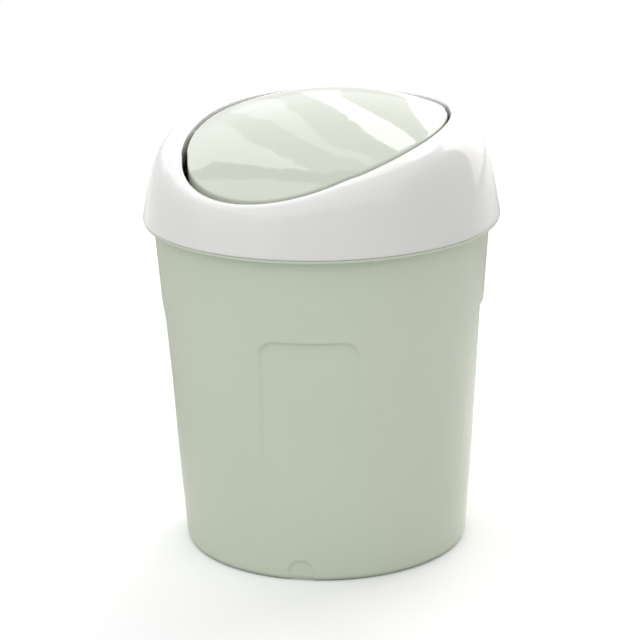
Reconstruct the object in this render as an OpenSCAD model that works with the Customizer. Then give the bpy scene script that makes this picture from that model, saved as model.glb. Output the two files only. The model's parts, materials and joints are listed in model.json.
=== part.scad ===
// Countertop bin with a swing lid: a tapered bucket, a slanted domed collar
// that stands on the bucket's rim, and a flap that rocks in the collar.
// The origin is the middle of the foot on the table, and +Z is up.
// The front is -Y, the side to which the lid's opening slants down.

/* [Bucket] */
// Outer diameter of the bucket at its foot
foot_d = 104.4; // [92:0.2:112]
// Height of the ledge that the collar stands on
ledge_h = 122.6; // [100:0.2:140]
// Thickness of the bucket's wall
wall = 1.8; // [1.2:0.1:2.4]
// Thickness of the bucket's floor
floor_t = 2; // [1.4:0.1:3]
// Radius inside, where the wall meets the floor
floor_round = 4; // [2:0.1:6]
// Radius of the rounded edge round the foot
foot_round = 2.4; // [1:0.1:4]
// Height of the hollow under the floor, inside the foot ring
foot_hollow = 1.2; // [0.6:0.1:2]
// Width of the foot ring that touches the table
foot_ring = 3; // [2:0.1:5]

/* [Rim of the bucket] */
// Thickness of the ledge
ledge_t = 1.3; // [1:0.1:2]
// How far the ledge stays inside the collar's outer edge
ledge_inset = 0.6; // [0.2:0.1:1.2]
// How far the wall under the ledge stays inside the collar's outer edge
mouth_inset = 4; // [3:0.1:6]
// Gap between the neck's top and the lowest edge of the collar's lip
neck_drop = 2.7; // [1:0.1:5]
// Thickness of the neck
neck_t = 1.6; // [1.2:0.1:2]
// Clearance between the neck and the collar, on the radius
neck_gap = 0.3; // [0.2:0.05:0.6]

/* [Pressed panels] */
// Number of shallow panels pressed into the wall
panel_count = 4; // [2:1:4]
// Width of a panel
panel_w = 34.8; // [20:0.2:44]
// Height of the panels' top edge
panel_top = 91; // [75:0.5:100]
// Height at which a panel's floor has run out into the wall
panel_end = 32; // [20:0.5:50]
// Depth of a panel at its top edge
panel_depth = 1.1; // [0.5:0.1:1.4]
// Radius of a panel's top corners
panel_round = 5; // [1.5:0.1:8]
// How far the bucket is turned under the lid, to the right of the front
bucket_turn = 28; // [0:1:90]

/* [Thumb notch in the foot] */
// Radius of the notch's round top
notch_r = 4.4; // [2:0.1:7]
// Height of the middle of the round top
notch_h = 3.4; // [1:0.1:6]
// Depth of the notch in the wall
notch_depth = 0.5; // [0.3:0.1:0.8]
// How far the notch sits from the middle of its panel
notch_turn = -5; // [-12:1:12]

/* [Collar] */
// Outer diameter of the collar at its lower edge, before the edge is rounded
collar_d = 130; // [128:0.2:134]
// Thickness of the collar
collar_wall = 1.8; // [1.4:0.1:2.2]
// Lean of the skirt at its lower edge, in degrees
skirt_lean = 10.4; // [6:0.2:13]
// Radius of the rounded outer edge of the collar's foot
skirt_round = 0.4; // [0.2:0.05:0.7]
// Depth of the lip that turns down into the opening
lip_depth = 7.5; // [6.5:0.1:9]
// Thickness of that lip
lip_t = 1.6; // [1.2:0.1:2]
// Radius of the rounded edge of the opening
lip_round = 0.8; // [0.4:0.1:1.2]
// How far the edge of the opening stands above the lid's bowed surface
collar_rise = 1.7; // [1:0.1:2.4]

/* [Opening] */
// Width of the opening, across the flap's pivots
opening_w = 92.2; // [88:0.2:96]
// Length of the opening, front to back
opening_l = 108.4; // [102:0.2:110]
// How much tighter the opening's front and back ends are than a half circle
opening_tighten = 5.7; // [2:0.1:8]
// How far the opening's middle lies in front of the bucket's middle
opening_forward = 2.2; // [0:0.1:4]

/* [Bowed surface of the lid] */
// Height of the lid's highest point over the ledge
lid_h = 42.2; // [36:0.2:50]
// Radius of the bow from front to back
bow_r = 101.3; // [90:0.5:120]
// How far the highest point lies behind the bucket's middle
bow_back = 12.5; // [8:0.1:16]
// Radius of the bow from side to side
crown_r = 120; // [100:1:160]

/* [Flap] */
// Gap between the flap and the opening, all round
flap_gap = 1.4; // [0.9:0.05:1.6]
// How far the flap is set back in the opening
flap_setback = 0.7; // [0:0.1:0.8]
// How far the flap stands above the lid's bowed surface
flap_rise = 0.6; // [0:0.1:1]
// Thickness of the flap
flap_wall = 1.8; // [1.2:0.1:2.4]
// Depth of the flap's edge
flap_edge = 4; // [3:0.1:5]
// Radius of the rounded edge of the flap
flap_round = 1; // [0.5:0.1:1.4]

/* [Pivots] */
// Diameter of the two pivot pins moulded on the flap
pin_d = 3; // [2.4:0.1:3.4]
// Running clearance of a pin in its socket, on the radius
pin_fit = 0.05; // [0.03:0.01:0.1]
// Length of a pin inside its socket
pin_reach = 2.2; // [1.5:0.1:3]
// How far the pins lie in front of the flap's middle
pin_forward = 14; // [8:0.5:18]
// How far the pins lie below the top of the flap's edge
pin_drop = 2.6; // [2.4:0.1:3]
// Plastic round each socket's bore
socket_wall = 1.25; // [1:0.05:1.5]

/* [Rest tabs behind the flap] */
// Width of each of the two tabs that hold the flap level
tab_w = 6; // [4:0.5:9]
// Thickness of a tab
tab_t = 1.6; // [1:0.1:2]
// How far a tab reaches under the flap
tab_reach = 2.4; // [1.5:0.1:3.5]
// Angle of a tab from the middle of the back, in degrees
tab_turn = 22; // [12:1:30]
// Gap between a tab and the flap's edge
tab_gap = 0.3; // [0.2:0.05:0.5]

/* [Hidden] */

sage = "#c3cbb8";
milk = "#eeeeec";
round_fn = 180;
fine_fn = 48;
// Overlap by which one solid is sunk into its own piece, and cuts run past a face
sink = 0.2;

// Wall of the bucket: its radius grows steadily from the foot to the ledge
wall_top = ledge_h - ledge_t;
mouth_d = collar_d - 2 * mouth_inset;
wall_grow = (mouth_d - foot_d) / 2 / wall_top;
function wall_r(z) = foot_d / 2 + wall_grow * z;

// Floor of a pressed panel: a steeper cone that meets the wall at panel_end
panel_grow = wall_grow - panel_depth / (panel_top - panel_end);
function panel_r(z) = wall_r(panel_end) + panel_grow * (z - panel_end);

// Outline of the opening: two wide arcs at the sides, two tighter ones at the ends
half_w = opening_w / 2;
half_l = opening_l / 2;
opening_y = -opening_forward;
opening_end_r = half_w - opening_tighten;
end_shift = half_l - opening_end_r;
function side_r(w) = (pow(half_w, 2) + pow(end_shift, 2) - pow(opening_end_r, 2))
    / (2 * (half_w - opening_end_r)) - w;
function side_shift() = side_r(0) - half_w;

// Distance from the outline's middle to the outline drawn in by w, at angle a
function outline_r(a, w) =
    abs(cos(a)) * end_shift > abs(sin(a)) * side_shift() ? outline_side_r(a, w)
        : outline_end_r(a, w);
function outline_side_r(a, w) =
    -side_shift() * abs(cos(a)) + sqrt(pow(side_r(w), 2) - pow(side_shift() * sin(a), 2));
function outline_end_r(a, w) =
    end_shift * abs(sin(a)) + sqrt(pow(opening_end_r - w, 2) - pow(end_shift * cos(a), 2));
function outline_x(y, w) = sqrt(pow(side_r(w), 2) - y * y) - side_shift();

// Bowed surface: an arc from front to back whose radius shrinks towards the sides
bow_z = ledge_h + lid_h - flap_rise - bow_r;
function bow(x, y) =
    bow_z + sqrt(pow(bow_r - crown_r + sqrt(pow(crown_r, 2) - x * x), 2)
        - pow(y - bow_back, 2));

// Pivot axis: where it crosses the flap's sides and the opening's sides
flap_y = opening_y + flap_setback;
pin_y = flap_y - pin_forward;
flap_side_x = outline_x(-pin_forward, flap_gap);
opening_side_x = outline_x(pin_y - opening_y, 0);
pin_z = bow(flap_side_x, pin_y) + flap_rise - pin_drop;
pin_end_x = opening_side_x + pin_reach;
socket_end_gap = 0.3;
socket_cap = 1.2;
boss_wall = 0.9;
boss_r = pin_d / 2 + boss_wall;
boss_l = 3.4;
boss_inset = 0.5;

// Loft: steps round the lid and along each part of a section
turns = 96;
skirt_steps = 14;
lip_steps = 4;
inner_steps = 8;
top_rings = 9;

function mix(a, b, s) = a + (b - a) * s;
function curve(p, s) =
    p[0] * pow(1 - s, 3) + 3 * p[1] * s * pow(1 - s, 2)
    + 3 * p[2] * s * s * (1 - s) + p[3] * pow(s, 3);

// Collar section at angle a: it rises from the skirt, rounds over the shoulder
// and meets the opening at an angle that falls from back to front, more so at the back
foot_pull = 0.63;
rim_pull = 0.34;
rim_angle_mid = -11;
rim_angle_back = 34;
rim_angle_front = -23;
// Depth below the rim at which the inside of the wall meets the lip
lip_root = collar_wall * 1.25;
function rim_angle(a) =
    mix(rim_angle_mid, sin(a) > 0 ? rim_angle_back : rim_angle_front, abs(sin(a)));
function rim_edge(a) = [0, opening_y] + outline_r(a, 0) * [cos(a), sin(a)];
function skirt_foot(a, inset) = (collar_d / 2 - inset) * [cos(a), sin(a)];
function rim_z(a) = bow(rim_edge(a)[0], rim_edge(a)[1]) + collar_rise;

// Neck: it follows the inside of the collar's skirt, up to a gap under the lip's front
neck_h = rim_z(-90) - lip_depth - neck_drop - ledge_h;
neck_foot_r = collar_d / 2 - collar_wall - neck_gap;
neck_top_r = neck_foot_r - neck_h * tan(skirt_lean);

// Points along a section are [distance in from the skirt's outside, height]
// The rounded edge of the foot runs from the ledge to the leaning outside
skirt_round_in = skirt_round * (1 + sin(skirt_lean)) / cos(skirt_lean);
skirt_arc = [
    for (i = [0 : lip_steps - 1])
        let (g = mix(-90, -180 - skirt_lean, i / (lip_steps - 1)))
            [skirt_round_in + skirt_round * cos(g), ledge_h + skirt_round * (1 + sin(g))]
];
function section_end(a, back, drop) =
    [norm(rim_edge(a) - skirt_foot(a, 0)) - back, rim_z(a) - drop];
function section_curve(a, start, end) = [
    start,
    start + foot_pull * norm(end - start) * [sin(skirt_lean), cos(skirt_lean)],
    end - rim_pull * norm(end - start) * [cos(rim_angle(a)), sin(rim_angle(a))],
    end
];
function outer_end(a) = section_end(a, lip_round * (1 + sin(rim_angle(a))), 0);
function lip_middle(a) = outer_end(a) + lip_round * [sin(rim_angle(a)), -cos(rim_angle(a))];
function lip_arc(a) = [
    for (i = [1 : lip_steps])
        let (g = mix(rim_angle(a), -90, i / lip_steps))
            lip_middle(a) + lip_round * [-sin(g), cos(g)]
];
function section(a) = concat(
    skirt_arc,
    [for (i = [1 : skirt_steps])
        curve(section_curve(a, [0, ledge_h], outer_end(a)), i / skirt_steps)],
    lip_arc(a),
    [section_end(a, 0, lip_depth), section_end(a, lip_t, lip_depth)],
    [for (i = [inner_steps : -1 : 0])
        curve(section_curve(a, [collar_wall, ledge_h], section_end(a, lip_t, lip_root)),
            i / inner_steps)]
);

// A section point goes to its place along the line from the skirt to the opening
function place(a, p) =
    let (inward = (rim_edge(a) - skirt_foot(a, 0)) / norm(rim_edge(a) - skirt_foot(a, 0)),
        at = skirt_foot(a, 0) + p[0] * inward)
        [at[0], at[1], p[1]];

// Flap section at angle a: rings over the bowed top, the rounded edge, the rim
// of the underside and rings back to the middle, as [distance out, height]
function flap_out(a, w) = outline_r(a, flap_gap + w);
function flap_top(a, r) = bow(r * cos(a), flap_y + r * sin(a)) + flap_rise;
flap_probe = 0.5;
function flap_fall(a) =
    atan((flap_top(a, flap_out(a, flap_probe)) - flap_top(a, flap_out(a, 0))) / flap_probe);
function flap_edge_start(a) =
    let (r = flap_out(a, flap_round * (1 - sin(flap_fall(a))))) [r, flap_top(a, r)];
function flap_edge_middle(a) =
    flap_edge_start(a) - flap_round * [sin(flap_fall(a)), cos(flap_fall(a))];
function flap_section(a) = concat(
    [for (i = [1 : top_rings - 1])
        let (r = flap_edge_start(a)[0] * i / top_rings) [r, flap_top(a, r)]],
    [for (i = [0 : lip_steps])
        let (g = mix(flap_fall(a), 90, i / lip_steps))
            flap_edge_middle(a) + flap_round * [sin(g), cos(g)]],
    [[flap_out(a, 0), flap_top(a, flap_out(a, 0)) - flap_edge],
        [flap_out(a, flap_wall), flap_top(a, flap_out(a, 0)) - flap_edge]],
    [for (i = [top_rings : -1 : 1])
        let (r = flap_out(a, flap_wall) * i / top_rings) [r, flap_top(a, r) - flap_wall]]
);

// A ring of sections closed on itself, with no middle
function ring_faces(n, m) = [
    for (i = [0 : n - 1], j = [0 : m - 1])
        let (p = i * m + j, q = i * m + (j + 1) % m,
            r = ((i + 1) % n) * m + j, s = ((i + 1) % n) * m + (j + 1) % m)
            each [[p, q, s], [p, s, r]]
];

// Sections that run from one middle point, over the edge, to another
function disc_faces(n, m, first, last) = concat(
    [for (i = [0 : n - 1], j = [0 : m - 2])
        let (p = i * m + j, q = i * m + j + 1,
            r = ((i + 1) % n) * m + j, s = ((i + 1) % n) * m + j + 1)
            each [[p, s, q], [p, r, s]]],
    [for (i = [0 : n - 1]) [first, ((i + 1) % n) * m, i * m]],
    [for (i = [0 : n - 1]) [last, i * m + m - 1, ((i + 1) % n) * m + m - 1]]
);

module pressed_panels(inner, outer) {
    // Where the panels are, between the two cones given at z 0 and panel_top
    for (i = [0 : panel_count - 1])
        rotate(bucket_turn - 90 + i * 360 / panel_count)
            intersection() {
                difference() {
                    translate([0, 0, panel_end - sink])
                        cylinder(h = panel_top - panel_end + 2 * sink, r = outer, $fn = round_fn);
                    translate([0, 0, panel_end - 2 * sink])
                        cone_band(inner);
                }
                panel_block();
            }
}

module cone_band(inset) {
    // Solid cone under a panel's floor, drawn in by the inset
    h = panel_top - panel_end + 4 * sink;
    cylinder(h = h, r1 = panel_r(panel_end - 2 * sink) - inset,
        r2 = panel_r(panel_top + 2 * sink) - inset, $fn = round_fn);
}

module panel_block() {
    // Upright block with the panel's outline as seen from outside
    rotate([90, 0, 90])
        linear_extrude(height = mouth_d / 2 + wall)
            panel_outline();
}

module panel_outline() {
    straight = panel_w / 2 - panel_round;
    translate([-panel_w / 2, panel_end - sink])
        square([panel_w, panel_top - panel_end - panel_round + sink]);
    translate([-straight, panel_end])
        square([2 * straight, panel_top - panel_end]);
    for (side = [-1, 1])
        translate([side * straight, panel_top - panel_round])
            circle(r = panel_round, $fn = fine_fn);
}

module thumb_notch() {
    // Arch-shaped dent at the foot, as deep as notch_depth
    rotate(bucket_turn - 90 + notch_turn)
        difference() {
            translate([foot_d / 4, 0, 0])
                rotate([0, 90, 0]) {
                    translate([-notch_h, 0, 0])
                        cylinder(h = foot_d / 2, r = notch_r, $fn = fine_fn);
                    translate([-notch_h, -notch_r, 0])
                        cube([notch_h + sink, 2 * notch_r, foot_d / 2]);
                }
            translate([0, 0, -2 * sink])
                cylinder(h = notch_h + notch_r + 4 * sink, r1 = wall_r(-2 * sink) - notch_depth,
                    r2 = wall_r(notch_h + notch_r + 2 * sink) - notch_depth, $fn = round_fn);
        }
}

module bucket_profile() {
    // Half section of the wall, the floor, the ledge and the neck
    difference() {
        union() {
            polygon([
                [0, 0], [foot_d / 2 - foot_round, 0],
                [wall_r(foot_round), foot_round], [mouth_d / 2, wall_top], [0, wall_top]
            ]);
            translate([wall_r(foot_round) - foot_round, foot_round])
                circle(r = foot_round, $fn = fine_fn);
            rounded_edge(collar_d / 2 - ledge_inset, wall_top, ledge_t);
            polygon([
                [0, ledge_h - sink], [neck_foot_r, ledge_h - sink], [neck_foot_r, ledge_h],
                [neck_top_r, ledge_h + neck_h - neck_t / 2], [0, ledge_h + neck_h - neck_t / 2]
            ]);
            translate([neck_top_r - neck_t / 2, ledge_h + neck_h - neck_t / 2])
                circle(d = neck_t, $fn = fine_fn);
        }
        hollow_profile();
        translate([-sink, -sink])
            square([foot_d / 2 - foot_round - foot_ring + sink, foot_hollow + sink]);
    }
}

module rounded_edge(r, z, t) {
    // Half section of a flat ring of thickness t that ends half round at radius r
    translate([0, z])
        square([r - t / 2, t]);
    translate([r - t / 2, z + t / 2])
        circle(d = t, $fn = fine_fn);
}

module hollow_profile() {
    // Half section of the space inside, rounded where the wall meets the floor
    floor_z = foot_hollow + floor_t;
    corner_z = floor_z + floor_round;
    corner_r = wall_r(corner_z) - wall - floor_round;
    translate([corner_r, corner_z])
        circle(r = floor_round, $fn = fine_fn);
    polygon([
        [-sink, floor_z], [corner_r, floor_z], [corner_r + floor_round, corner_z],
        [mouth_d / 2 - wall, wall_top], [neck_top_r - neck_t, ledge_h],
        [neck_top_r - neck_t, ledge_h + neck_h + sink], [-sink, ledge_h + neck_h + sink]
    ]);
}

module bucket() {
    color(sage)
        difference() {
            union() {
                rotate_extrude($fn = round_fn)
                    intersection() {
                        bucket_profile();
                        square([collar_d, ledge_h + neck_h]);
                    }
                intersection() {
                    pressed_panels(wall, panel_r(panel_top) - sink);
                    cylinder(h = ledge_h, r1 = foot_d / 2 - wall / 2,
                        r2 = wall_r(ledge_h) - wall / 2, $fn = round_fn);
                }
            }
            pressed_panels(0, mouth_d);
            thumb_notch();
        }
}

module socket_bosses() {
    // A blind socket for a flap pin behind each side of the lip
    for (side = [0, 1])
        mirror([side, 0, 0])
            translate([opening_side_x + boss_inset, pin_y, pin_z])
                rotate([0, 90, 0])
                    cylinder(h = pin_reach + socket_end_gap + socket_cap - boss_inset,
                        r = pin_d / 2 + pin_fit + socket_wall, $fn = fine_fn);
}

module socket_bores() {
    for (side = [0, 1])
        mirror([side, 0, 0])
            translate([opening_side_x - lip_t, pin_y, pin_z])
                rotate([0, 90, 0])
                    cylinder(h = lip_t + pin_reach + socket_end_gap,
                        r = pin_d / 2 + pin_fit, $fn = fine_fn);
}

module rest_tabs() {
    // Two tabs on the lip that the back of the flap lies over
    for (side = [-1, 1]) {
        a = 90 + side * tab_turn;
        edge = flap_out(a, 0);
        translate([0, flap_y, flap_top(a, edge) - flap_edge - tab_gap - tab_t])
            rotate(a)
                translate([edge - tab_reach, -tab_w / 2, 0])
                    cube([tab_reach + flap_gap + flap_setback + lip_t / 2, tab_w, tab_t]);
    }
}

module collar() {
    sections = [for (i = [0 : turns - 1]) section(i * 360 / turns)];
    points = [for (i = [0 : turns - 1], p = sections[i]) place(i * 360 / turns, p)];
    color(milk)
        difference() {
            union() {
                polyhedron(points = points, faces = ring_faces(turns, len(sections[0])));
                socket_bosses();
                rest_tabs();
            }
            socket_bores();
        }
}

module flap_pins() {
    for (side = [0, 1])
        mirror([side, 0, 0]) {
            translate([flap_side_x - boss_l, pin_y, pin_z])
                rotate([0, 90, 0])
                    cylinder(h = boss_l - boss_inset, r = boss_r, $fn = fine_fn);
            translate([flap_side_x - boss_l, pin_y, pin_z])
                rotate([0, 90, 0])
                    cylinder(h = pin_end_x - flap_side_x + boss_l, r = pin_d / 2, $fn = fine_fn);
        }
}

module flap() {
    sections = [for (i = [0 : turns - 1]) flap_section(i * 360 / turns)];
    m = len(sections[0]);
    points = concat(
        [for (i = [0 : turns - 1], p = sections[i])
            [p[0] * cos(i * 360 / turns), flap_y + p[0] * sin(i * 360 / turns), p[1]]],
        [[0, flap_y, flap_top(0, 0)], [0, flap_y, flap_top(0, 0) - flap_wall]]
    );
    color(sage)
        union() {
            polyhedron(points = points, faces = disc_faces(turns, m, turns * m, turns * m + 1));
            flap_pins();
        }
}

bucket();
collar();
flap();
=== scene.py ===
"""Looks of a small countertop bin: a sage green bucket, a milk white collar and a sage swing flap."""
import json
import math

import bmesh
import bpy
from mathutils import Matrix, Vector

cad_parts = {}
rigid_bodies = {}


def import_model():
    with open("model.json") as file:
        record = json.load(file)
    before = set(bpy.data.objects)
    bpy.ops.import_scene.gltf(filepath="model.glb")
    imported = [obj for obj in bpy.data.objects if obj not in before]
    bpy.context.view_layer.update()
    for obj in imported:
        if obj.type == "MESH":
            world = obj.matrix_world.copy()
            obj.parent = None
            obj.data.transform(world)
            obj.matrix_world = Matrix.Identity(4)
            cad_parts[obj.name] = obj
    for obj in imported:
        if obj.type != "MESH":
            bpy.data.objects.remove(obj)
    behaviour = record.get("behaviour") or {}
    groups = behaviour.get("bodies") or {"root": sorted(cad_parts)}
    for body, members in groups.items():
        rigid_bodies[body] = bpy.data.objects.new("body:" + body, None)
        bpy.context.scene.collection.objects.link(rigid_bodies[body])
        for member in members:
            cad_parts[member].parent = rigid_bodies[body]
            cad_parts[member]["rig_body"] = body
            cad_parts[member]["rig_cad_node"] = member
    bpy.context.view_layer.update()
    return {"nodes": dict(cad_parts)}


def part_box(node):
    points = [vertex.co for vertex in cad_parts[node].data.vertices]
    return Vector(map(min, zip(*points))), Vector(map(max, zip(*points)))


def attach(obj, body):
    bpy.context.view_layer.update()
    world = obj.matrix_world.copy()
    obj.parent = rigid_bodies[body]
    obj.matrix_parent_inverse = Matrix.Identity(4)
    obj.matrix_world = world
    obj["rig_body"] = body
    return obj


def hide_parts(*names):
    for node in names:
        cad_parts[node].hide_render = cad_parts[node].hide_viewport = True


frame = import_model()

MM = 0.001

# Heights and radii taken from the frame
LEDGE_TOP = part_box("collar")[0].z
LEDGE_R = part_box("bucket")[1].x
NECK_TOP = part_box("bucket")[1].z

# Outer radii of the bucket
FOOT_R = 52.2 * MM
MOUTH_R = 61 * MM
NECK_FOOT_R = 62.9 * MM
NECK_TOP_R = 61.8 * MM

# Thicknesses of the bucket, and the ring that it stands on
WALL = 1.8 * MM
FLOOR = 2 * MM
LEDGE = 1.3 * MM
NECK = 1.6 * MM
FOOT_RING = 3 * MM
FOOT_HOLLOW = 1.2 * MM

# Rounds of the bucket, and how far short of a bend a plain stretch stops
FOOT_ROUND = 2.4 * MM
RING_ROUND = 0.3 * MM
INNER_ROUND = 4 * MM
LEDGE_FILLET = 0.6 * MM
NECK_BEVEL = 0.3 * MM
PLAIN_END = 1 * MM

# Panels pressed into the bucket's wall, the first turned so many degrees from the front towards +X
PANELS = 4
PANEL_TURN = 28
PANEL_W = 34.8 * MM
PANEL_TOP = 91 * MM
PANEL_END = 32 * MM
PANEL_DEPTH = 1.1 * MM
PANEL_ROUND = 5 * MM
PANEL_EDGE = 1.1 * MM
# The moulding shrank a little, this far round a panel and by this share of the panel's depth
PANEL_SHRINK = 2.6 * MM
PANEL_SUNK = 0.06

# Notch in the foot, turned so many degrees from the first panel
NOTCH_TURN = -5
NOTCH_R = 4.4 * MM
NOTCH_H = 3.4 * MM
NOTCH_DEPTH = 0.5 * MM
NOTCH_EDGE = 0.9 * MM

# Steps round the bucket, and the spacing of the rows up its wall, which lie close together round the
# notch and from below to above the panels' top edge
BUCKET_STEPS = 600
PLAIN_ROWS = 5 * MM
NOTCH_ROWS = 0.6 * MM
EDGE_ROWS = 0.35 * MM
INNER_EDGE_ROWS = 0.5 * MM
INNER_TOP_ROWS = 12 * MM
EDGE_BELOW = 6 * MM
EDGE_ABOVE = 2 * MM

# Edges that turn more than this many degrees stay sharp: on the bucket, and on the lid's two pieces
BUCKET_SHARP = 50
LID_SHARP = 40

# Points closer than this become one: where the bucket's spin ends, and on the lid's two pieces
SPIN_JOIN = 0.01 * MM
LID_JOIN = 0.001 * MM

# Two triangles become a quad up to this bend, and up to this skew of its corners, in degrees
QUAD_BEND = 40
QUAD_SKEW = 70

# Polypropylene: size of its flow clouds and of its dust patches, the part of the dust's range over
# which the gloss gets rougher, and how much rougher it gets
CLOUD_SIZE = 40 * MM
DUST_SIZE = 6 * MM
DUST_RANGE = (0.35, 0.75)
DUST_ROUGHER = 1.35

# Camera, fitted to the photographed outlines
CAMERA_PLACE = Vector((0.4635, -0.7057, 0.3432))
CAMERA_HEADING = 33.38
CAMERA_DIP = 17.2
CAMERA_ROLL = -0.99
CAMERA_LENS = 135
CAMERA_SENSOR = 36

# Lights: the point they face, how far away they stand, and the strength of the room's light
LIT_MIDDLE = Vector((0, 0, 0.1))
LAMP_DISTANCE = 2.0
ROOM_LIGHT = 0.44
# Height over which a pane's glow grows
GLOW_RISE = 4

# Table: its width, how far to the right of the bin its painted pool of light is brightest, and
# between which distances from there that painted patch fades and the far part begins
TABLE_W = 3
PAINTED_LIGHT_OFFSET = 0.15
PAINTED_LIGHT_FADE = (0.1, 0.3)
FAR_START = (0.5, 0.8)

# Numbers of a Mix node's colour sockets
MIX_FIRST = 6
MIX_SECOND = 7
MIX_RESULT = 2


def material(name):
    """A new material and its empty node tree."""
    made = bpy.data.materials.new(name)
    made.use_nodes = True
    made.node_tree.nodes.clear()
    return made, made.node_tree


def node(tree, kind, settings=None, links=None):
    """Adds a node. Settings fill its properties and its sockets, links join its sockets to outputs of
    other nodes, and a socket goes by its name or its number."""
    made = tree.nodes.new(kind)
    for key, value in (settings or {}).items():
        if isinstance(key, int) or key in made.inputs:
            made.inputs[key].default_value = value
        else:
            setattr(made, key, value)
    for key, output in (links or {}).items():
        tree.links.new(output, made.inputs[key])
    return made


def linear(code):
    """Linear colour with alpha from an sRGB hex value."""
    parts = [int(code[i : i + 2], 16) / 255 for i in (1, 3, 5)]
    lit = [c / 12.92 if c <= 0.04045 else ((c + 0.055) / 1.055) ** 2.4 for c in parts]
    return (*lit, 1)


def moulded_polypropylene(name, light, dark, roughness, ripple, spacing):
    """Injection moulded polypropylene: an even pigment with faint flow clouds, under a gloss that
    ripples a little where the moulding shrank, and that fine dust and handling break up in places."""
    made, tree = material(name)
    place = node(tree, "ShaderNodeTexCoord").outputs["Object"]
    clouds = node(
        tree, "ShaderNodeTexNoise", {"Scale": 1 / CLOUD_SIZE, "Detail": 3.0}, {"Vector": place}
    )
    tint = node(
        tree,
        "ShaderNodeMix",
        {"data_type": "RGBA", MIX_FIRST: linear(dark), MIX_SECOND: linear(light)},
        {"Factor": clouds.outputs["Fac"]},
    )
    dust = node(
        tree, "ShaderNodeTexNoise", {"Scale": 1 / DUST_SIZE, "Detail": 5.0}, {"Vector": place}
    )
    rough = node(
        tree,
        "ShaderNodeMapRange",
        {
            "From Min": DUST_RANGE[0],
            "From Max": DUST_RANGE[1],
            "To Min": roughness,
            "To Max": roughness * DUST_ROUGHER,
        },
        {"Value": dust.outputs["Fac"]},
    )
    waves = node(
        tree, "ShaderNodeTexNoise", {"Scale": 1 / spacing, "Detail": 1.5}, {"Vector": place}
    )
    bump = node(
        tree,
        "ShaderNodeBump",
        {"Strength": 1.0, "Distance": ripple},
        {"Height": waves.outputs["Fac"]},
    )
    skin = node(
        tree,
        "ShaderNodeBsdfPrincipled",
        {"IOR": 1.49},
        {
            "Base Color": tint.outputs[MIX_RESULT],
            "Roughness": rough.outputs["Result"],
            "Normal": bump.outputs["Normal"],
        },
    )
    node(tree, "ShaderNodeOutputMaterial", links={"Surface": skin.outputs["BSDF"]})
    return made


def add_object(name, data):
    """A new object with this data, in the scene."""
    obj = bpy.data.objects.new(name, data)
    bpy.context.scene.collection.objects.link(obj)
    return obj


def take(obj):
    """Selects this object alone and makes it the active one."""
    bpy.ops.object.select_all(action="DESELECT")
    obj.select_set(True)
    bpy.context.view_layer.objects.active = obj


def finish_piece(obj, body, replaced, finish):
    """Gives a piece its finish and its body, and hides the CAD node that it stands for."""
    obj.data.materials.clear()
    obj.data.materials.append(finish)
    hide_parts(replaced)
    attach(obj, body)


def wall_r(z):
    """Outer radius of the bucket's wall at height z."""
    return FOOT_R + (MOUTH_R - FOOT_R) * z / (LEDGE_TOP - LEDGE)


def arc(middle, radius, start, end, steps):
    """Points of an arc in the profile's plane, from one angle to another, in degrees."""
    turns = [math.radians(start + (end - start) * i / steps) for i in range(steps + 1)]
    return [(middle[0] + radius * math.cos(t), middle[1] + radius * math.sin(t)) for t in turns]


def rows(low, high, spacing):
    """Heights from low towards high, no further apart than the spacing."""
    count = max(1, math.ceil((high - low) / spacing))
    return [low + (high - low) * i / count for i in range(count)]


def wall_rows(low, edge_spacing, top_spacing):
    """Heights of the rows up the wall, with those round the panels' top edge closer together."""
    below = PANEL_TOP - EDGE_BELOW
    above = PANEL_TOP + EDGE_ABOVE
    high = LEDGE_TOP - LEDGE - PLAIN_END
    edge = rows(below, above, edge_spacing)
    return rows(low, below, PLAIN_ROWS) + edge + rows(above, high, top_spacing)


def bucket_profile():
    """Half section of the bucket as (radius, height), from under the floor up the outside, over the
    neck and down the inside to the floor."""
    ring_in = FOOT_R - FOOT_ROUND - FOOT_RING
    under = [(0, FOOT_HOLLOW), (ring_in - PLAIN_END, FOOT_HOLLOW)]
    under += arc((ring_in - RING_ROUND, FOOT_HOLLOW - RING_ROUND), RING_ROUND, 90, 0, 3)
    under += arc((ring_in + RING_ROUND, RING_ROUND), RING_ROUND, 180, 270, 3)
    foot = arc((wall_r(FOOT_ROUND) - FOOT_ROUND, FOOT_ROUND), FOOT_ROUND, -90, 0, 10)[:-1]

    notch_top = NOTCH_H + NOTCH_R + NOTCH_EDGE
    heights = rows(FOOT_ROUND, notch_top, NOTCH_ROWS) + wall_rows(notch_top, EDGE_ROWS, PLAIN_ROWS)
    outside = [(wall_r(z), z) for z in heights]

    wall_top = LEDGE_TOP - LEDGE
    turn_in = [(wall_r(wall_top - PLAIN_END), wall_top - PLAIN_END)]
    fillet = (wall_r(wall_top) + LEDGE_FILLET, wall_top - LEDGE_FILLET)
    turn_in += arc(fillet, LEDGE_FILLET, 180, 90, 4)
    ledge = arc((LEDGE_R - LEDGE / 2, LEDGE_TOP - LEDGE / 2), LEDGE / 2, -90, 90, 10)

    neck = [(NECK_FOOT_R + NECK_BEVEL, LEDGE_TOP), (NECK_FOOT_R, LEDGE_TOP + NECK_BEVEL)]
    neck += arc((NECK_TOP_R - NECK / 2, NECK_TOP - NECK / 2), NECK / 2, 0, 180, 8)
    neck += [(NECK_TOP_R - NECK, LEDGE_TOP), (MOUTH_R - WALL, wall_top - PLAIN_END)]

    floor = FOOT_HOLLOW + FLOOR
    low = floor + INNER_ROUND
    heights = wall_rows(low, INNER_EDGE_ROWS, INNER_TOP_ROWS)
    inside = [(wall_r(z) - WALL, z) for z in reversed(heights)]
    inside += arc((wall_r(low) - WALL - INNER_ROUND, low), INNER_ROUND, 0, -90, 6)[1:]
    return under + foot + outside + turn_in + ledge + neck + inside + [(0, floor)]


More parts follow.
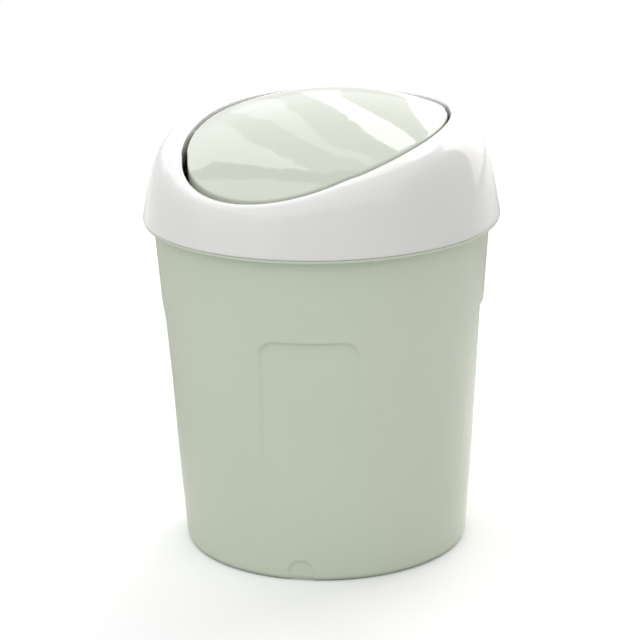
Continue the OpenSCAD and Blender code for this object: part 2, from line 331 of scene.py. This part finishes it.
def edge_share(distance, width):
    """1 well inside an outline and 0 well outside it, with a soft step of that width between."""
    t = min(1, max(0, 0.5 - distance / width))
    return t * t * (3 - 2 * t)


def panel_share(side, z):
    """How far the panel is pressed in at a place beside its middle line and at height z."""
    out_x = abs(side) - (PANEL_W / 2 - PANEL_ROUND)
    out_z = z - (PANEL_TOP - PANEL_ROUND)
    corner = math.hypot(max(out_x, 0), max(out_z, 0)) + min(max(out_x, out_z), 0)
    distance = corner - PANEL_ROUND
    pressed = edge_share(distance, PANEL_EDGE)
    sunk = PANEL_SUNK * min(1, max(0, 1 - distance / PANEL_SHRINK)) ** 2
    run_out = min(1, max(0, (z - PANEL_END) / (PANEL_TOP - PANEL_END)))
    return (pressed + sunk * (1 - pressed)) * run_out


def notch_share(side, z):
    """How far the notch is pressed in at a place beside its middle line and at height z."""
    distance = math.hypot(side, max(z - NOTCH_H, 0)) - NOTCH_R
    return edge_share(distance, NOTCH_EDGE)


def press_wall(mesh):
    """Presses the panels into the bucket's wall, inside and out, and the notch into its outside."""
    for vertex in mesh.vertices:
        place = vertex.co
        radius = math.hypot(place.x, place.y)
        inward = wall_r(place.z) - radius
        if inward > 1.5 * WALL or place.z > LEDGE_TOP - 2 * LEDGE:
            continue
        turn = math.degrees(math.atan2(place.x, -place.y)) - PANEL_TURN
        depth = 0
        for i in range(PANELS):
            away = math.radians(turn - i * 360 / PANELS)
            if math.cos(away) > 0:
                depth += PANEL_DEPTH * panel_share(radius * math.sin(away), place.z)
        away = math.radians(turn - NOTCH_TURN)
        if math.cos(away) > 0 and inward < WALL / 2:
            depth += NOTCH_DEPTH * notch_share(radius * math.sin(away), place.z)
        place.x *= 1 - depth / radius
        place.y *= 1 - depth / radius


def make_bucket(finish):
    """The bucket is spun from its half section, and its panels and notch are pressed in."""
    points = [(r, 0, z) for r, z in bucket_profile()]
    mesh = bpy.data.meshes.new("bucket_shell")
    mesh.from_pydata(points, [(i, i + 1) for i in range(len(points) - 1)], [])
    obj = add_object("bucket_shell", mesh)
    take(obj)
    bpy.ops.object.mode_set(mode="EDIT")
    bpy.ops.mesh.select_all(action="SELECT")
    bpy.ops.mesh.spin(steps=BUCKET_STEPS, angle=2 * math.pi, center=(0, 0, 0), axis=(0, 0, 1))
    bpy.ops.mesh.select_all(action="SELECT")
    bpy.ops.mesh.remove_doubles(threshold=SPIN_JOIN)
    bpy.ops.mesh.normals_make_consistent(inside=False)
    bpy.ops.object.mode_set(mode="OBJECT")
    press_wall(obj.data)
    bpy.ops.object.shade_smooth_by_angle(angle=math.radians(BUCKET_SHARP))
    finish_piece(obj, "bucket", "bucket", finish)


def crease(mesh, sharp):
    """Marks the edges that turn more than the sharp angle, so that subdivision leaves them sharp."""
    work = bmesh.new()
    work.from_mesh(mesh)
    layer = work.edges.layers.float.new("crease_edge")
    for edge in work.edges:
        if len(edge.link_faces) != 2 or edge.calc_face_angle(0) > math.radians(sharp):
            edge[layer] = 1
    work.to_mesh(mesh)
    work.free()


def smooth_copy(name, source):
    """A copy of a CAD node as one mesh of quads, smoothed between its sharp edges."""
    copy = frame["nodes"][source].copy()
    copy.data = copy.data.copy()
    copy.name = copy.data.name = name
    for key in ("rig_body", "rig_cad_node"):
        del copy[key]
    bpy.context.scene.collection.objects.link(copy)
    copy.parent = None
    take(copy)
    bpy.ops.mesh.customdata_custom_splitnormals_clear()
    bpy.ops.object.mode_set(mode="EDIT")
    bpy.ops.mesh.select_all(action="SELECT")
    bpy.ops.mesh.remove_doubles(threshold=LID_JOIN)
    bpy.ops.mesh.tris_convert_to_quads(
        face_threshold=math.radians(QUAD_BEND), shape_threshold=math.radians(QUAD_SKEW)
    )
    bpy.ops.object.mode_set(mode="OBJECT")
    crease(copy.data, LID_SHARP)
    smooth = copy.modifiers.new("smooth", "SUBSURF")
    smooth.levels = smooth.render_levels = 1
    bpy.ops.object.modifier_apply(modifier=smooth.name)
    bpy.ops.object.shade_smooth_by_angle(angle=math.radians(LID_SHARP))
    return copy


def make_collar(finish):
    """The domed ring of the lid, with its pin bosses and rest tabs inside."""
    obj = smooth_copy("collar_ring", "collar")
    finish_piece(obj, "lid", "collar", finish)


def make_flap(finish):
    """The bowed flap with its two pins."""
    obj = smooth_copy("swing_flap_cover", "flap")
    finish_piece(obj, "swing_flap", "flap", finish)


def make_camera():
    """The camera stands where the photographed outlines put it."""
    lens = bpy.data.cameras.new("camera")
    lens.lens = CAMERA_LENS
    lens.sensor_width = CAMERA_SENSOR
    camera = add_object("camera", lens)
    turn = Matrix.Rotation(math.radians(CAMERA_HEADING), 4, "Z")
    dip = Matrix.Rotation(math.radians(90 - CAMERA_DIP), 4, "X")
    roll = Matrix.Rotation(math.radians(CAMERA_ROLL), 4, "Z")
    camera.matrix_world = Matrix.Translation(CAMERA_PLACE) @ turn @ dip @ roll
    bpy.context.scene.camera = camera


def direction(azimuth, elevation):
    """Direction seen from the bin, in degrees: azimuth from the camera's heading to its right."""
    turn = math.radians(CAMERA_HEADING - azimuth)
    rise = math.radians(elevation)
    level = math.cos(rise)
    return Vector((-math.sin(turn) * level, math.cos(turn) * level, math.sin(rise)))


def make_floor():
    """A wide pale grey table, which the camera sees as white with the bin's soft shadow on it. In the
    gloss it is lighter far away, and it has a painted pool of light in a patch to the right of the
    bin."""
    bpy.ops.object.select_all(action="DESELECT")
    bpy.ops.mesh.primitive_plane_add(size=TABLE_W)
    floor = bpy.context.active_object
    floor.name = "floor"
    made, tree = material("matt_pale_table")
    place = node(tree, "ShaderNodeTexCoord").outputs["Object"]
    away = node(
        tree,
        "ShaderNodeVectorMath",
        {"operation": "DISTANCE", 1: direction(90, 0) * PAINTED_LIGHT_OFFSET},
        {0: place},
    )
    past_painted_light, far = [
        node(
            tree,
            "ShaderNodeMapRange",
            {"From Min": low, "From Max": high},
            {"Value": away.outputs["Value"]},
        )
        for low, high in (PAINTED_LIGHT_FADE, FAR_START)
    ]
    path = node(tree, "ShaderNodeLightPath").outputs
    # Painted pool of light: in the gloss the table's colour is paler in a patch to the right of the
    # bin
    painted_light_gloss = node(
        tree,
        "ShaderNodeMix",
        {"data_type": "RGBA", MIX_FIRST: linear("#f4f4f0"), MIX_SECOND: linear("#a5a59f")},
        {"Factor": past_painted_light.outputs["Result"]},
    )
    gloss = node(
        tree,
        "ShaderNodeMix",
        {"data_type": "RGBA", MIX_SECOND: linear("#f4f4f0")},
        {"Factor": far.outputs["Result"], MIX_FIRST: painted_light_gloss.outputs[MIX_RESULT]},
    )
    lit = node(
        tree,
        "ShaderNodeMix",
        {"data_type": "RGBA", MIX_FIRST: linear("#cacac8")},
        {"Factor": path["Is Glossy Ray"], MIX_SECOND: gloss.outputs[MIX_RESULT]},
    )
    seen = node(
        tree,
        "ShaderNodeMix",
        {"data_type": "RGBA", MIX_SECOND: linear("#fbfbfb")},
        {"Factor": path["Is Camera Ray"], MIX_FIRST: lit.outputs[MIX_RESULT]},
    )
    paint = node(tree, "ShaderNodeBsdfDiffuse", links={"Color": seen.outputs[MIX_RESULT]})
    white = node(tree, "ShaderNodeEmission", {"Color": linear("#ffffff"), "Strength": 1.0})
    backdrop = node(
        tree,
        "ShaderNodeMath",
        {"operation": "MULTIPLY"},
        {0: path["Is Camera Ray"], 1: far.outputs["Result"]},
    )
    table = node(
        tree,
        "ShaderNodeMixShader",
        links={0: backdrop.outputs["Value"], 1: paint.outputs["BSDF"], 2: white.outputs["Emission"]},
    )
    node(tree, "ShaderNodeOutputMaterial", links={"Surface": table.outputs["Shader"]})
    floor.data.materials.append(made)


def make_world():
    """Dim even surroundings, seen as plain white by the camera and in the gloss."""
    world = bpy.data.worlds.new("pale_room")
    bpy.context.scene.world = world
    world.use_nodes = True
    tree = world.node_tree
    tree.nodes.clear()
    path = node(tree, "ShaderNodeLightPath").outputs
    dim, white = [
        node(tree, "ShaderNodeBackground", {"Color": linear("#ffffff"), "Strength": strength})
        for strength in (ROOM_LIGHT, 1.0)
    ]
    plain = node(
        tree,
        "ShaderNodeMath",
        {"operation": "MAXIMUM"},
        {0: path["Is Camera Ray"], 1: path["Is Glossy Ray"]},
    )
    sky = node(
        tree,
        "ShaderNodeMixShader",
        links={
            0: plain.outputs["Value"],
            1: dim.outputs["Background"],
            2: white.outputs["Background"],
        },
    )
    node(tree, "ShaderNodeOutputWorld", links={"Surface": sky.outputs["Shader"]})


def soft_lamp(name, start, end, spread, brightness):
    """A flat lamp that the bin sees from one direction to another, as wide as the spread in degrees.
    Its brightness is in the unit of the world's strength."""
    near, far = direction(*start), direction(*end)
    outward = (near + far).normalized()
    along = (far - near).normalized()
    distance = LAMP_DISTANCE * (near + far).length / 2
    lamp = bpy.data.lights.new(name, "AREA")
    lamp.shape = "RECTANGLE"
    lamp.size = 2 * distance * math.tan(math.radians(spread / 2))
    lamp.size_y = LAMP_DISTANCE * (far - near).length
    lamp.energy = brightness * math.pi * lamp.size * lamp.size_y
    axes = Matrix((along.cross(outward), along, outward)).transposed().to_4x4()
    place = Matrix.Translation(LIT_MIDDLE + outward * distance)
    add_object(name, lamp).matrix_world = place @ axes


def glowing_pane(name, corners, brightness, dark_below, tint="#ffffff"):
    """A pane whose corners lie in these directions from the bin. It glows from a height in metres
    upwards, by this brightness for each metre, as a window does that looks on the sky."""
    ways = [direction(*corner) for corner in corners]
    outward = sum(ways, Vector()).normalized()
    places = [LIT_MIDDLE + way * (LAMP_DISTANCE / way.dot(outward)) for way in ways]
    mesh = bpy.data.meshes.new(name)
    mesh.from_pydata(places, [], [list(range(len(places)))])
    obj = add_object(name, mesh)
    made, tree = material(name + "_glow")
    place = node(tree, "ShaderNodeTexCoord").outputs["Object"]
    height = node(tree, "ShaderNodeSeparateXYZ", links={"Vector": place}).outputs["Z"]
    glow = node(
        tree,
        "ShaderNodeMapRange",
        {
            "From Min": dark_below,
            "From Max": dark_below + GLOW_RISE,
            "To Max": GLOW_RISE * brightness,
        },
        {"Value": height},
    )
    light = node(
        tree, "ShaderNodeEmission", {"Color": linear(tint)}, {"Strength": glow.outputs["Result"]}
    )
    clear = node(tree, "ShaderNodeBsdfTransparent")
    both = node(
        tree,
        "ShaderNodeAddShader",
        links={0: light.outputs["Emission"], 1: clear.outputs["BSDF"]},
    )
    node(tree, "ShaderNodeOutputMaterial", links={"Surface": both.outputs["Shader"]})
    mesh.materials.append(made)
    obj.visible_camera = False


def make_lights():
    """Large soft lamps over the front and the left, and behind the bin the panes of a window and its
    reflections in the room, which streak the gloss."""
    soft_lamp("front_softbox", (180, 26), (180, 78), 95, 0.92)
    soft_lamp("left_softbox", (-122, -2), (-122, 42), 62, 0.46)
    right = [(3, -2), (7, 8), (10, 19), (14, 29), (20, 38), (32, 46), (60, 46), (60, -2)]
    glowing_pane("right_window", right, 1.45, -0.7, "#fffbf6")
    back = [(-12, 10), (-19, 26), (-26, 40), (-31, 50), (-36, 60), (-38, 69), (-39, 76)]
    back += [(21, 76), (40, 60), (40, 10)]
    glowing_pane("back_wall", back, 0.5, 0)
    bent = [(-2, -2), (-3, 14), (-2, 29), (2, 43), (8, 53), (15, 58), (26, 61), (29, 52)]
    bent += [(21, 48), (14, 43), (8, 38), (3, 30), (1, 20), (1, -2)]
    glowing_pane("bent_streak", bent, 2.4, 0.3)
    left = [(-5, -2), (-7, 20), (-9, 31), (-10, 46), (-10, 58), (-7, 64), (0, 66), (18, 69)]
    left += [(18, 73), (0, 71), (-12, 68), (-17, 60), (-18, 50), (-16, 40), (-15, 28), (-11, 10)]
    glowing_pane("left_streak", left, 0.5, 0)
    wedge = [(-10, 4), (-19, 26), (-26, 40), (-31, 50), (-35, 60), (-38, 68), (-39, 74)]
    wedge += [(-45, 68), (-47, 60), (-44, 50), (-40, 41), (-50, 20)]
    glowing_pane("wedge", wedge, 1.8, 0.5)
    side = [(-47, 37), (-52, 46), (-57, 55), (-60, 65), (-62, 73), (-53, 79), (-100, 79), (-100, 37)]
    glowing_pane("left_side", side, 0.8, 0)


# The bucket's mould was plainly polished, so it mirrors the room softly, with slow ripples
sage = moulded_polypropylene(
    "moulded_sage_polypropylene", "#d3dccb", "#ced7c5", 0.12, 0.05 * MM, 16 * MM
)
# The flap's mould was polished bright, so it shows the window's edges, bent by closer ripples
sage_flap = moulded_polypropylene(
    "polished_sage_polypropylene", "#c6cbbf", "#c1c7b9", 0.045, 0.06 * MM, 8 * MM
)
# The collar's pigment is milk white, under a gloss between the two
milk = moulded_polypropylene(
    "moulded_milk_polypropylene", "#e2e2e1", "#dfdfde", 0.09, 0.05 * MM, 16 * MM
)

make_camera()
make_floor()
make_world()
make_lights()
make_bucket(sage)
make_collar(milk)
make_flap(sage_flap)

bpy.context.scene.view_settings.view_transform = "Standard"
